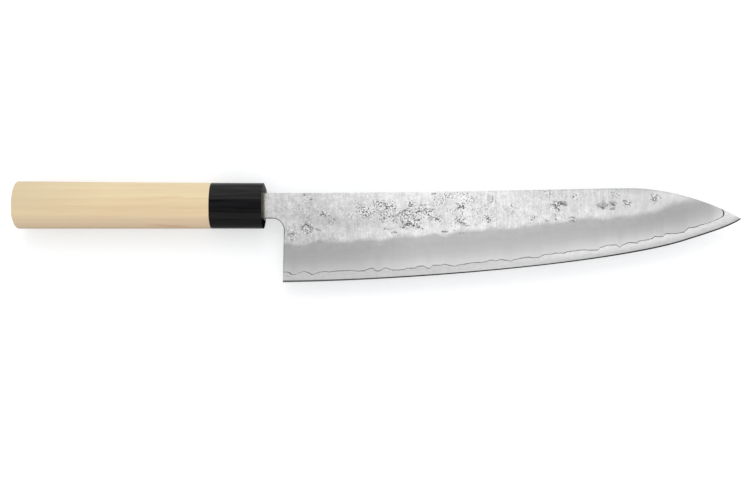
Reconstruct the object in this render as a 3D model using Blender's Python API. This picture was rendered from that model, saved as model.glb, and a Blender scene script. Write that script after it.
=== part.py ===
"""Gyuto: a Japanese chef's knife with a three-layer blade and a D-section wooden handle.

All sizes are in metres. The knife lies on its left side: +X runs from the butt to the tip,
+Y from the cutting edge to the spine, and +Z up through the blade's thickness, out of its right
side. Shapes are drawn from the point where the handle's axis meets the plane of the ferrule's
front rim, and the empty "gyuto" sets the whole knife with its box centred over the origin.
"""
import math

import bmesh
import bpy
from mathutils import Vector
from mathutils.geometry import interpolate_bezier

# Blade outline
NECK_LENGTH = 0.0107
NECK_HEIGHT = 0.0134
BLADE_LENGTH = 0.2406
HEEL_DEPTH = 0.0402
HEEL_LEAN = 0.0007
CHOIL_FILLET = 0.0065
SPINE_RISE = 0.0025
NOSE_LENGTH = 0.0582
TIP_DROP = 0.00685
POINT_LENGTH = 0.0276
POINT_HEIGHT = 0.0108
POINT_SLOPE = 0.341
TIP_SLOPE = 0.90
HEEL_SLOPE = 0.0180

# Handles of the outline's curves, as shares of the length that each curve covers
EDGE_HEEL_REACH = 0.366
EDGE_BELLY_REACH = 0.157
EDGE_POINT_REACH = 0.10
EDGE_TIP_REACH = 0.16
SPINE_NECK_REACH = 0.478
SPINE_CREST_REACH = 0.13
NOSE_CREST_REACH = 0.488
NOSE_TIP_REACH = 0.048
NOSE_TIP_RISE = 0.036
CHOIL_REACH = 0.60

# Blade thickness
NECK_THICKNESS = 0.0034
POINT_THICKNESS = 0.0010
CORE_THICKNESS = 0.0009
TIP_THICKNESS = 0.0003
EDGE_THICKNESS = 0.0002
CORE_BEVEL = 0.0034

# Lamination line, where the cladding ends above the cutting edge
CLADDING_LIP = 0.00005
CLADDING_HEIGHT = 0.0044
CLADDING_SLOPE = 0.0045
CLADDING_SETBACK = 0.0089
CLADDING_END_RISE = 0.0030
CLADDING_END_LENGTH = 0.0070
CLADDING_WAVES = ((0.00038, 0.01435, -1.80), (0.00040, 0.01140, 2.57))

# Shoulder, where the flat cheek turns into the wide bevel
SHOULDER_HEIGHT = 0.0215
SHOULDER_RISE = 0.0300

# Tang
TANG_LENGTH = 0.0950
TANG_END_HEIGHT = 0.0050
TANG_CLEARANCE = 0.0003

# Handle and ferrule
HANDLE_LENGTH = 0.1292
FERRULE_LENGTH = 0.0274
FERRULE_HEIGHT = 0.0240
FERRULE_THICKNESS = 0.0196
BUTT_HEIGHT = 0.0249
BUTT_THICKNESS = 0.0202
SWELL_POWER = 1.6
RIDGE_DROP = 0.0066
RIDGE_FLATTENING = 0.0003
RIDGE_APPROACH = 0.85
FACET_REACH = 0.40
FACET_FALL = 0.80
OVAL_ROUNDNESS = 0.55
BUTT_ROUNDING = 0.0010
DOME_HEIGHT = 0.0021
DOME_POWER = 3.0
DOME_RINGS = (0.97, 0.9, 0.8, 0.68, 0.54, 0.38, 0.2)

# Joint between the handle, the ferrule and the neck
FERRULE_FRONT_WALL = 0.0120
TENON_DIAMETER = 0.0160
TENON_CLEARANCE = 0.0003
RESIN_WALL_Y = 0.0010
RESIN_WALL_Z = 0.0010

# Smoothness
LONG_CURVE_POINTS = 36
SHORT_CURVE_POINTS = 8
BLADE_STATION = 0.0035
SECTION_POINTS = 12
ROUND_SIDES = 48
SMOOTH_ANGLE = math.radians(40)
TOOL_MARGIN = 0.0020

KNIFE_COLLECTION = "gyuto"
CUTTER_COLLECTION = "cutters"

CHOIL_X = NECK_LENGTH
HEEL_X = NECK_LENGTH - HEEL_LEAN
TIP_X = HEEL_X + BLADE_LENGTH
CLADDING_END_X = TIP_X - CLADDING_SETBACK
NECK_HALF = NECK_HEIGHT / 2
NOSE_X = TIP_X - NOSE_LENGTH
TANG_START_X = -FERRULE_FRONT_WALL
TANG_END_X = -TANG_LENGTH
HANDLE_BOTTOM_Y = -FERRULE_HEIGHT / 2
SLOT_HALF_Y = NECK_HALF + RESIN_WALL_Y
SLOT_HALF_Z = NECK_THICKNESS / 2 + RESIN_WALL_Z


def clear_scene():
    """Remove what the scene holds."""
    for item in list(bpy.data.objects):
        bpy.data.objects.remove(item, do_unlink=True)


def make_collection(name):
    """Make a collection under the scene's own."""
    collection = bpy.data.collections.new(name)
    bpy.context.scene.collection.children.link(collection)
    return collection


def make_material(name, colour, roughness, metallic=0.0):
    """Make a plain Principled material."""
    material = bpy.data.materials.new(name)
    material.use_nodes = True
    shader = material.node_tree.nodes["Principled BSDF"]
    shader.inputs["Base Color"].default_value = (*colour, 1.0)
    shader.inputs["Roughness"].default_value = roughness
    shader.inputs["Metallic"].default_value = metallic
    return material


def add_piece(name, mesh, material):
    """Put a named piece of the knife in its collection, under the knife's empty."""
    mesh.name = name
    piece = bpy.data.objects.new(name, mesh)
    mesh.materials.append(material)
    bpy.data.collections[KNIFE_COLLECTION].objects.link(piece)
    piece.parent = bpy.data.objects[KNIFE_COLLECTION]
    return piece


def add_cutter(name, mesh):
    """Put a cutter in its own collection, under the knife's empty and out of the render."""
    cutter = bpy.data.objects.new(name, mesh)
    bpy.data.collections[CUTTER_COLLECTION].objects.link(cutter)
    cutter.parent = bpy.data.objects[KNIFE_COLLECTION]
    cutter.hide_render = True
    cutter.display_type = "WIRE"
    return cutter


def cut(piece, cutter, operation):
    """Give a piece a Boolean modifier."""
    modifier = piece.modifiers.new(cutter.name, "BOOLEAN")
    modifier.operation = operation
    modifier.object = cutter
    modifier.solver = "EXACT"


def mesh_from_bmesh(name, shape):
    """Turn a closed bmesh into a mesh whose faces point out."""
    bmesh.ops.recalc_face_normals(shape, faces=shape.faces)
    if shape.calc_volume(signed=True) < 0:
        bmesh.ops.reverse_faces(shape, faces=shape.faces)
    mesh = bpy.data.meshes.new(name)
    shape.to_mesh(mesh)
    shape.free()
    return mesh


def block(name, low, high):
    """Box between two corners."""
    shape = bmesh.new()
    bmesh.ops.create_cube(shape, size=1.0)
    size = Vector(high) - Vector(low)
    bmesh.ops.scale(shape, verts=shape.verts, vec=size)
    bmesh.ops.translate(shape, verts=shape.verts, vec=(Vector(low) + Vector(high)) / 2)
    return mesh_from_bmesh(name, shape)


def rod(name, diameter, start_x, end_x):
    """Cylinder along the handle's axis."""
    shape = bmesh.new()
    radius = diameter / 2
    length = end_x - start_x
    sizes = {"radius1": radius, "radius2": radius, "depth": length}
    bmesh.ops.create_cone(shape, cap_ends=True, segments=ROUND_SIDES, **sizes)
    turn = Vector((0, 0, 1)).rotation_difference(Vector((1, 0, 0))).to_matrix()
    bmesh.ops.rotate(shape, verts=shape.verts, matrix=turn)
    bmesh.ops.translate(shape, verts=shape.verts, vec=((start_x + end_x) / 2, 0, 0))
    return mesh_from_bmesh(name, shape)


def plate(name, outline, thickness):
    """Flat plate of an outline in the XY plane, centred on the plane."""
    curve = bpy.data.curves.new(name, "CURVE")
    curve.dimensions = "2D"
    curve.fill_mode = "BOTH"
    curve.extrude = thickness / 2
    spline = curve.splines.new("POLY")
    spline.points.add(len(outline) - 1)
    for point, place in zip(spline.points, outline):
        point.co = (place[0], place[1], 0, 1)
    spline.use_cyclic_u = True
    guide = bpy.data.objects.new(name, curve)
    bpy.context.scene.collection.objects.link(guide)
    evaluated = guide.evaluated_get(bpy.context.evaluated_depsgraph_get())
    flat = bpy.data.meshes.new_from_object(evaluated)
    bpy.data.objects.remove(guide, do_unlink=True)
    shape = bmesh.new()
    shape.from_mesh(flat)
    bpy.data.meshes.remove(flat)
    bmesh.ops.remove_doubles(shape, verts=shape.verts, dist=1e-7)
    return mesh_from_bmesh(name, shape)


def loft(name, rings):
    """Closed mesh through rings of as many points each, with a flat cap on each end."""
    shape = bmesh.new()
    loops = [[shape.verts.new(point) for point in ring] for ring in rings]
    for near, far in zip(loops, loops[1:]):
        for index in range(len(near)):
            following = (index + 1) % len(near)
            shape.faces.new((near[index], near[following], far[following], far[index]))
    shape.faces.new(loops[0])
    shape.faces.new(loops[-1])
    return mesh_from_bmesh(name, shape)


def curve_points(start, start_handle, end_handle, end, count):
    """Points of one cubic curve in the XY plane, without the last."""
    corners = [Vector((*place, 0)) for place in (start, start_handle, end_handle, end)]
    return [(point.x, point.y) for point in interpolate_bezier(*corners, count + 1)[:-1]]


def edge_curves():
    """The cutting edge as two cubic curves that meet where the point starts."""
    heel = (HEEL_X, -HEEL_DEPTH)
    tip = (TIP_X, -TIP_DROP)
    point = (TIP_X - POINT_LENGTH, -TIP_DROP - POINT_HEIGHT)
    belly_length = point[0] - heel[0]
    heel_reach = belly_length * EDGE_HEEL_REACH
    belly_reach = belly_length * EDGE_BELLY_REACH
    point_reach = POINT_LENGTH * EDGE_POINT_REACH
    tip_reach = POINT_LENGTH * EDGE_TIP_REACH
    first = (
        heel,
        (heel[0] + heel_reach, heel[1] + heel_reach * HEEL_SLOPE),
        (point[0] - belly_reach, point[1] - belly_reach * POINT_SLOPE),
        point,
    )
    second = (
        point,
        (point[0] + point_reach, point[1] + point_reach * POINT_SLOPE),
        (tip[0] - tip_reach, tip[1] - tip_reach * TIP_SLOPE),
        tip,
    )
    return first, second


def edge_line():
    """Points along the cutting edge from heel to tip."""
    first, second = edge_curves()
    points = curve_points(*first, LONG_CURVE_POINTS) + curve_points(*second, SHORT_CURVE_POINTS)
    return points + [second[-1]]


def edge_y(x):
    """Height of the cutting edge at a place along the blade, carried on past heel and tip."""
    points = edge_line()
    if x <= points[0][0]:
        return points[0][1]
    for near, far in zip(points, points[1:]):
        if x <= far[0]:
            share = (x - near[0]) / (far[0] - near[0])
            return near[1] + share * (far[1] - near[1])
    return points[-1][1]


def spine_line():
    """Points along the spine from the tip back to the neck."""
    tip = (TIP_X, -TIP_DROP)
    crest = (NOSE_X, NECK_HALF + SPINE_RISE)
    neck = (NECK_LENGTH, NECK_HALF)
    back_length = NOSE_X - NECK_LENGTH
    tip_handle = (tip[0] - NOSE_LENGTH * NOSE_TIP_REACH, tip[1] + NOSE_LENGTH * NOSE_TIP_RISE)
    nose_handle = (crest[0] + NOSE_LENGTH * NOSE_CREST_REACH, crest[1])
    crest_handle = (crest[0] - back_length * SPINE_CREST_REACH, crest[1])
    neck_handle = (neck[0] + back_length * SPINE_NECK_REACH, neck[1])
    nose = curve_points(tip, tip_handle, nose_handle, crest, LONG_CURVE_POINTS)
    back = curve_points(crest, crest_handle, neck_handle, neck, LONG_CURVE_POINTS)
    return nose + back + [neck]


def choil_line():
    """Points from the neck's lower side round the fillet and down to the heel."""
    start = (CHOIL_X - CHOIL_FILLET, -NECK_HALF)
    end = (CHOIL_X, -NECK_HALF - CHOIL_FILLET)
    reach = CHOIL_FILLET * CHOIL_REACH
    start_handle = (start[0] + reach, start[1])
    end_handle = (end[0], end[1] + reach)
    return curve_points(start, start_handle, end_handle, end, SHORT_CURVE_POINTS) + [end]


def tang_line(clearance):
    """Tang's end corners and where it starts to narrow, upper side first, grown by a clearance."""
    end_x = TANG_END_X - clearance
    end_half = TANG_END_HEIGHT / 2 + clearance
    start_half = NECK_HALF + clearance
    return [(TANG_START_X, start_half), (end_x, end_half), (end_x, -end_half), (TANG_START_X, -start_half)]


def blade_outline():
    """The blade's whole outline with its neck and tang, counter to the clock from the heel."""
    return edge_line()[:-1] + spine_line() + tang_line(0.0) + choil_line()


def cladding_y(x):
    """Height of the wavy line where the cladding ends."""
    along = max(x - HEEL_X, 0.0)
    height = CLADDING_HEIGHT + CLADDING_SLOPE * along
    for size, length, phase in CLADDING_WAVES:
        height += size * math.sin(2 * math.pi * x / length + phase)
    near_end = max(x - CLADDING_END_X + CLADDING_END_LENGTH, 0.0) / CLADDING_END_LENGTH
    return edge_y(x) + height + CLADDING_END_RISE * near_end ** 3


def shoulder_y(x):
    """Height of the line where the flat cheek turns into the bevel."""
    share = max(x - HEEL_X, 0.0) / BLADE_LENGTH
    return -HEEL_DEPTH + SHOULDER_HEIGHT + SHOULDER_RISE * share ** 2


def cheek_z(x):
    """Half thickness of the flat cheek, which thins in a straight line from the neck to the point."""
    neck = NECK_THICKNESS / 2
    point = POINT_THICKNESS / 2
    start = CHOIL_X - CHOIL_FILLET
    share = max(x - start, 0.0) / (CLADDING_END_X - start)
    return neck + (point - neck) * share


def core_z(x):
    """Half thickness of the core, even as far as the cladding reaches and thinner at the tip."""
    share = min(max(x - CLADDING_END_X, 0.0) / (TIP_X - CLADDING_END_X), 1.0)
    return CORE_THICKNESS / 2 + (TIP_THICKNESS - CORE_THICKNESS) / 2 * share


def stations(start, fixed, end):
    """Even places along X from start to end, with each fixed place among them."""
    marks = [start] + [place for place in fixed if start < place < end] + [end]
    places = []
    for near, far in zip(marks, marks[1:]):
        count = max(1, round((far - near) / BLADE_STATION))
        places += [near + (far - near) * step / count for step in range(count)]
    return places + [end]


def layer(name, places, column):
    """Closed slab over the XY plane. column(x) gives its rows as (y, lower z, upper z)."""
    shape = bmesh.new()
    grid = []
    for x in places:
        rows = column(x)
        lower = [shape.verts.new((x, y, low)) for y, low, high in rows]
        upper = [shape.verts.new((x, y, high)) for y, low, high in rows]
        grid.append((lower, upper))
    for near, far in zip(grid, grid[1:]):
        for side in (0, 1):
            for row in range(len(near[side]) - 1):
                a, b = near[side][row], near[side][row + 1]
                c, d = far[side][row + 1], far[side][row]
                shape.faces.new((a, b, c))
                shape.faces.new((a, c, d))
        for row in (0, -1):
            shape.faces.new((near[0][row], far[0][row], far[1][row]))
            shape.faces.new((near[0][row], far[1][row], near[1][row]))
    for lower, upper in (grid[0], grid[-1]):
        for row in range(len(lower) - 1):
            shape.faces.new((lower[row], lower[row + 1], upper[row + 1]))
            shape.faces.new((lower[row], upper[row + 1], upper[row]))
    return mesh_from_bmesh(name, shape)


def core_column(x):
    """Rows of the core: a bevel carried on a little below the cutting edge, and flat above it."""
    half = core_z(x)
    below = 0.1
    foot = edge_y(x) - below * CORE_BEVEL
    foot_half = EDGE_THICKNESS / 2 - below * (half - EDGE_THICKNESS / 2)
    top = NECK_HALF + SPINE_RISE + TOOL_MARGIN
    return [(foot, -foot_half, foot_half), (edge_y(x) + CORE_BEVEL, -half, half), (top, -half, half)]


def cladding_column(side):
    """Rows of one cladding, from its thin lip over the bevel and shoulder to above the spine."""
    inner = CORE_THICKNESS / 2

    def column(x):
        cheek = cheek_z(x)
        foot = cladding_y(x)
        shoulder = shoulder_y(x)
        lip = min(inner + CLADDING_LIP, cheek)
        top = max(NECK_HALF + SPINE_RISE, shoulder) + TOOL_MARGIN
        rows = [(foot, inner, lip), (shoulder, inner, cheek), (top, inner, cheek)]
        return [(y, side * low, side * high) for y, low, high in rows]

    return column


def section(height, thickness, centre_y, share=1.0):
    """The D section as (y, z) points: an oval with one soft ridge low on its right side."""
    half_y = height / 2 * share
    half_z = thickness / 2 * share
    round_y = half_y * OVAL_ROUNDNESS
    round_z = half_z * OVAL_ROUNDNESS
    ridge_y = -RIDGE_DROP * share
    ridge_z = half_z - RIDGE_FLATTENING
    top = (half_y, 0)
    right = (0, half_z)
    ridge = (ridge_y, ridge_z)
    bottom = (-half_y, 0)
    left = (0, -half_z)
    ridge_handle = (ridge_y * RIDGE_APPROACH, ridge_z + RIDGE_FLATTENING / 3)
    facet_handle = (ridge_y - (half_y + ridge_y) * FACET_REACH, ridge_z * FACET_FALL)
    curves = (
        (top, (half_y, round_z), (round_y, half_z), right),
        (right, (ridge_y / 2, half_z), ridge_handle, ridge),
        (ridge, facet_handle, (-half_y, round_z), bottom),
        (bottom, (-half_y, -round_z), (-round_y, -half_z), left),
        (left, (round_y, -half_z), (half_y, -round_z), top),
    )
    points = []
    for curve in curves:
        points += curve_points(*curve, SECTION_POINTS)
    return [(centre_y + y, z) for y, z in points]


def handle_size(x):
    """Height, thickness and centre height of the handle at a place along it."""
    share = max(-x, 0.0) / HANDLE_LENGTH
    height = FERRULE_HEIGHT + (BUTT_HEIGHT - FERRULE_HEIGHT) * share ** SWELL_POWER
    thickness = FERRULE_THICKNESS + (BUTT_THICKNESS - FERRULE_THICKNESS) * share
    return height, thickness, HANDLE_BOTTOM_Y + height / 2


def handle_ring(x, share=1.0, at=None):
    """Ring of the handle's section, made smaller by a share and moved to another X if one is given."""
    height, thickness, centre = handle_size(x)
    place = x if at is None else at
    return [(place, y, z) for y, z in section(height, thickness, centre, share)]


def body_blank():
    """The wooden body without its tenon and hole: rounded at the butt and flat at the joint."""
    butt = -HANDLE_LENGTH
    rings = []
    steps = 4
    for step in range(steps):
        angle = math.pi / 2 * step / steps
        inset = BUTT_ROUNDING * (1 - math.sin(angle))
        share = 1 - 2 * inset / BUTT_HEIGHT
        rings.append(handle_ring(butt, share, butt + BUTT_ROUNDING * (1 - math.cos(angle))))
    length = HANDLE_LENGTH - BUTT_ROUNDING - FERRULE_LENGTH
    bays = 10
    for bay in range(bays + 1):
        rings.append(handle_ring(butt + BUTT_ROUNDING + length * bay / bays))
    return loft("handle_body", rings)


def ferrule_blank(name):
    """The ferrule without its bore and slot, with its domed front."""
    bays = 3
    rings = [handle_ring(-FERRULE_LENGTH * (bays - bay) / bays) for bay in range(bays + 1)]
    for share in DOME_RINGS:
        rings.append(handle_ring(0.0, share, DOME_HEIGHT * (1 - share ** DOME_POWER)))
    return loft(name, rings)


def build_blade(steel, iron):
    """Core and two claddings, each a slab cut to the blade's outline."""
    tool_thickness = NECK_THICKNESS + 2 * TOOL_MARGIN
    outline = add_cutter("blade_outline", plate("blade_outline", blade_outline(), tool_thickness))
    start = TANG_END_X - TOOL_MARGIN
    bends = (CHOIL_X - CHOIL_FILLET, HEEL_X, CLADDING_END_X - CLADDING_END_LENGTH, CLADDING_END_X)
    core_places = stations(start, bends, TIP_X + TOOL_MARGIN)
    core = add_piece("core_steel", layer("core_steel", core_places, core_column), steel)
    cut(core, outline, "INTERSECT")
    cladding_places = stations(start, bends, CLADDING_END_X)
    for name, side in (("cladding_right", 1), ("cladding_left", -1)):
        mesh = layer(name, cladding_places, cladding_column(side))
        cladding = add_piece(name, mesh, iron)
        cut(cladding, outline, "INTERSECT")


def build_handle(wood):
    """Wooden body with the tenon that enters the ferrule and the hole for the tang."""
    body = add_piece("handle_body", body_blank(), wood)
    tenon_end = TANG_START_X - TENON_CLEARANCE
    tenon = add_cutter("tenon", rod("tenon", TENON_DIAMETER, -FERRULE_LENGTH - TOOL_MARGIN, tenon_end))
    cut(body, tenon, "UNION")
    hole_thickness = NECK_THICKNESS + 2 * TANG_CLEARANCE
    hole = add_cutter("tang_hole", plate("tang_hole", tang_line(TANG_CLEARANCE), hole_thickness))
    cut(body, hole, "DIFFERENCE")


def build_ferrule(horn):
    """Horn ferrule with a bore for the tenon and a slot for the neck."""
    ferrule = add_piece("ferrule", ferrule_blank("ferrule"), horn)
    bore_diameter = TENON_DIAMETER + 2 * TENON_CLEARANCE
    bore = rod("ferrule_bore", bore_diameter, -FERRULE_LENGTH - TOOL_MARGIN, TANG_START_X)
    cut(ferrule, add_cutter("ferrule_bore", bore), "DIFFERENCE")
    low = (TANG_START_X - TOOL_MARGIN, -SLOT_HALF_Y, -SLOT_HALF_Z)
    high = (DOME_HEIGHT + TOOL_MARGIN, SLOT_HALF_Y, SLOT_HALF_Z)
    cut(ferrule, add_cutter("neck_slot", block("neck_slot", low, high)), "DIFFERENCE")


def build_resin(resin):
    """Collar of resin that fills the slot round the neck, flush with the dome."""
    low = (TANG_START_X, -SLOT_HALF_Y, -SLOT_HALF_Z)
    high = (DOME_HEIGHT + TOOL_MARGIN, SLOT_HALF_Y, SLOT_HALF_Z)
    collar = add_piece("mouth_resin", block("mouth_resin", low, high), resin)
    cut(collar, add_cutter("dome", ferrule_blank("dome")), "INTERSECT")
    neck_low = (TANG_START_X - TOOL_MARGIN, -NECK_HALF, -NECK_THICKNESS / 2)
    neck_high = (DOME_HEIGHT + 2 * TOOL_MARGIN, NECK_HALF, NECK_THICKNESS / 2)
    cut(collar, add_cutter("neck", block("neck", neck_low, neck_high)), "DIFFERENCE")


def place_knife():
    """Make the empty that sets the knife's box over the origin, lying on the handle's left side."""
    knife = bpy.data.objects.new(KNIFE_COLLECTION, None)
    bpy.data.collections[KNIFE_COLLECTION].objects.link(knife)
    top = HANDLE_BOTTOM_Y + BUTT_HEIGHT
    centre_x = (TIP_X - HANDLE_LENGTH) / 2
    centre_y = (top - HEEL_DEPTH) / 2
    knife.location = (-centre_x, -centre_y, BUTT_THICKNESS / 2)


def smooth_handle():
    """Shade the turned and lofted pieces smooth, with their sharp edges kept."""
    for name in ("handle_body", "ferrule"):
        mesh = bpy.data.objects[name].data
        mesh.shade_smooth()
        mesh.set_sharp_from_angle(angle=SMOOTH_ANGLE)


def main():
    clear_scene()
    make_collection(KNIFE_COLLECTION)
    make_collection(CUTTER_COLLECTION)
    place_knife()
    steel = make_material("core_steel", (0.62, 0.63, 0.64), 0.25, 1.0)
    iron = make_material("cladding_iron", (0.52, 0.53, 0.54), 0.45, 1.0)
    wood = make_material("magnolia_wood", (0.77, 0.60, 0.38), 0.60)
    horn = make_material("black_horn", (0.020, 0.019, 0.020), 0.25)
    resin = make_material("mouth_resin", (0.16, 0.15, 0.11), 0.50)
    build_blade(steel, iron)
    build_handle(wood)
    build_ferrule(horn)
    build_resin(resin)
    smooth_handle()


main()
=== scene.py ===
"""Looks of the gyuto: fine meshes, finishes, floor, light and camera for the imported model.

Shapes are worked out in the knife's own millimetres, from where the handle's axis meets the plane of
the ferrule's front rim: X to the tip, Y to the spine, Z up, out of the blade's right side.
"""
import math

import bpy
import numpy as np
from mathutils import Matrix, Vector


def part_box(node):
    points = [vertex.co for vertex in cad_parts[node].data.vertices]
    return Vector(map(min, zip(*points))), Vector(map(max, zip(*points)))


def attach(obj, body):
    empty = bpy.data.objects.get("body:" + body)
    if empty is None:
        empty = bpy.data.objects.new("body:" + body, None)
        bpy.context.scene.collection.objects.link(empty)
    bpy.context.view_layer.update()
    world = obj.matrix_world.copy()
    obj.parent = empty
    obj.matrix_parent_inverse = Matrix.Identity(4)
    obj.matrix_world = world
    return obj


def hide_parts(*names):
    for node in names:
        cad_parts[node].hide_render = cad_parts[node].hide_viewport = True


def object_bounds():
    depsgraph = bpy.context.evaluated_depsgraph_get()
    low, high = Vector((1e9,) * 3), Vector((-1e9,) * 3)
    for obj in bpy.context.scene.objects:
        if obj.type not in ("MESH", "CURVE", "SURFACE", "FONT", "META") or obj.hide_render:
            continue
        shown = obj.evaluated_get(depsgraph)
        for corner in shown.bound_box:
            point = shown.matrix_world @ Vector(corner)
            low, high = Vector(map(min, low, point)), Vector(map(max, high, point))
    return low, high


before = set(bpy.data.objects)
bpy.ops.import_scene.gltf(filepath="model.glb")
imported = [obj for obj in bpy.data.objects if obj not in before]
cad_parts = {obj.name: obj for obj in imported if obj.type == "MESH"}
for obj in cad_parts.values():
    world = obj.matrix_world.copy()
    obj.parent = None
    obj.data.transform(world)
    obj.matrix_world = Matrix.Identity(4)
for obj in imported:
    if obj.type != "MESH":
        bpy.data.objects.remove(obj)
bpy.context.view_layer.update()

MM = 0.001
FAR = 1e3
TINY = 1e-6

# Blade outline
CHOIL_X = 10.7
HEEL_X = 10.0
TIP_X = 250.6
TIP_Y = -6.85
HEEL_Y = -40.2
NECK_HALF = 6.7
SPINE_CREST = 9.2
NOSE_X = TIP_X - 58.2
POINT_X = TIP_X - 27.6
POINT_Y = TIP_Y - 10.8
FILLET = 6.5
CORNER_Y = -NECK_HALF - FILLET
HEEL_SLOPE = 0.018
POINT_SLOPE = 0.341
TIP_SLOPE = 0.9
EDGE_HEEL_REACH = 0.366
EDGE_BELLY_REACH = 0.157
EDGE_POINT_REACH = 0.1
EDGE_TIP_REACH = 0.16
SPINE_NECK_REACH = 0.478
SPINE_CREST_REACH = 0.13
NOSE_CREST_REACH = 0.488
NOSE_TIP_REACH = 0.048
NOSE_TIP_RISE = 0.036
CLAD_END_X = 241.7
END_TURN = 3.6
END_TURN_CENTRE = 0.44
TANG_END_X = -95.0
TANG_END_HALF = 2.5
TANG_START_X = -12.0
TANG_GAP = 0.3

# Blade thickness
NECK_Z = 1.7
POINT_Z = 0.5
CORE_Z = 0.45
TIP_Z = 0.13
EDGE_Z = 0.04
MICRO_BEVEL = 0.6
MICRO_BEVEL_Z = 0.14
LIP_Z = 0.012
SPINE_ROUNDING = 0.3
CHOIL_ROUNDING = 0.35
SHOULDER_SOFTNESS = 0.04
LEAST_SKIN = 0.004
CORE_GAP = 0.002

# Lamination line: corners as (place along the blade, height over the edge)
LINE_CORNERS = (
    (10, 5.3), (12.2, 5.2), (13.8, 4.9), (14.9, 3.8), (17, 3.8), (18.5, 4.6), (20.6, 5.2), (22.2, 5.2),
    (23.8, 4.5), (25.4, 3.4), (26.4, 3.8), (28.5, 4.4), (29.3, 4.8), (32.7, 4.8), (34.8, 4.6), (36.9, 4.9),
    (46.4, 5), (48.5, 4.5), (52.7, 4.4), (54.8, 5.2), (56.9, 5.7), (57.9, 5.1), (59, 4), (61.1, 4),
    (63.2, 5.3), (64.7, 5.2), (67.9, 4), (71, 3.8), (73.7, 3.9), (74.7, 4.5), (79.4, 4.3), (80.2, 4.8),
    (82.1, 5.2), (84.2, 5), (85.7, 3.9), (87.6, 3.7), (88.6, 5.1), (93.1, 4.9), (94.7, 5.3), (98.9, 4),
    (100.7, 3.8), (101.5, 4.2), (105.7, 4.4), (108.3, 4.8), (115.7, 4.6), (118.8, 5.3), (120.4, 5.2),
    (122, 4.6), (123.5, 5.1), (125.1, 5), (130.1, 3.8), (130.9, 4.3), (134.6, 4.7), (138.2, 5),
    (139.8, 4.8), (140.9, 4.3), (144.5, 4.2), (147.2, 5.4), (151.4, 5.1), (152.4, 5.5), (157.7, 4.9),
    (159.2, 5.4), (166.1, 5.4), (168.2, 5.2), (170.3, 4.7), (175.5, 4.1), (176.3, 5.2), (177.6, 5.3),
    (180.8, 5.9), (185, 5.3), (186, 4.4), (187.1, 3.8), (188.1, 4.6), (191.3, 5.4), (192.8, 5.2),
    (196, 4.4), (196.8, 5.2), (202.3, 5), (203.9, 5.3), (205.4, 6.1), (206.5, 5.6), (209.6, 4.9),
    (210.4, 6.1), (212.3, 5.9), (216.5, 4.9), (220.7, 4.5), (222.8, 5.9), (226.4, 5.1), (229.1, 5.4),
    (231.2, 5.1), (235.4, 5.2), (239, 5.3), (241.7, 5.6),
)
# Polish line: places it passes, and the length over which its turns are rounded
POLISH_PLACES = (
    (-5, -18), (11, -19.2), (17, -20.7), (21.2, -20.9), (25.4, -18.8), (29.6, -18.4), (34, -19),
    (42.2, -19.1), (46.4, -18.8), (50.6, -17.9), (54.8, -17.7), (59, -18), (63.2, -17.7), (67.4, -16.7),
    (71.6, -16), (80, -16.5), (84.2, -15.8), (88.4, -14.7), (92, -15), (94.6, -15.9), (97.8, -14.9),
    (101, -13.5), (113.6, -13.2), (117.8, -12.4), (122, -11.8), (126.2, -12.2), (130.4, -11.9), (143, -10),
    (151.4, -9.3), (158, -8.3), (161.9, -8.5), (165, -7.1), (172.4, -6.4), (177, -7.4), (180.8, -6.8),
    (185, -5.7), (193.4, -5.4), (197.6, -4.4), (206, -2.9), (210.2, -0.8), (214.4, 1.1), (218.6, 1.7),
    (224, 2.6), (236, 5), (262, 8),
)
POLISH_ROUNDING = 1.1

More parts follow.
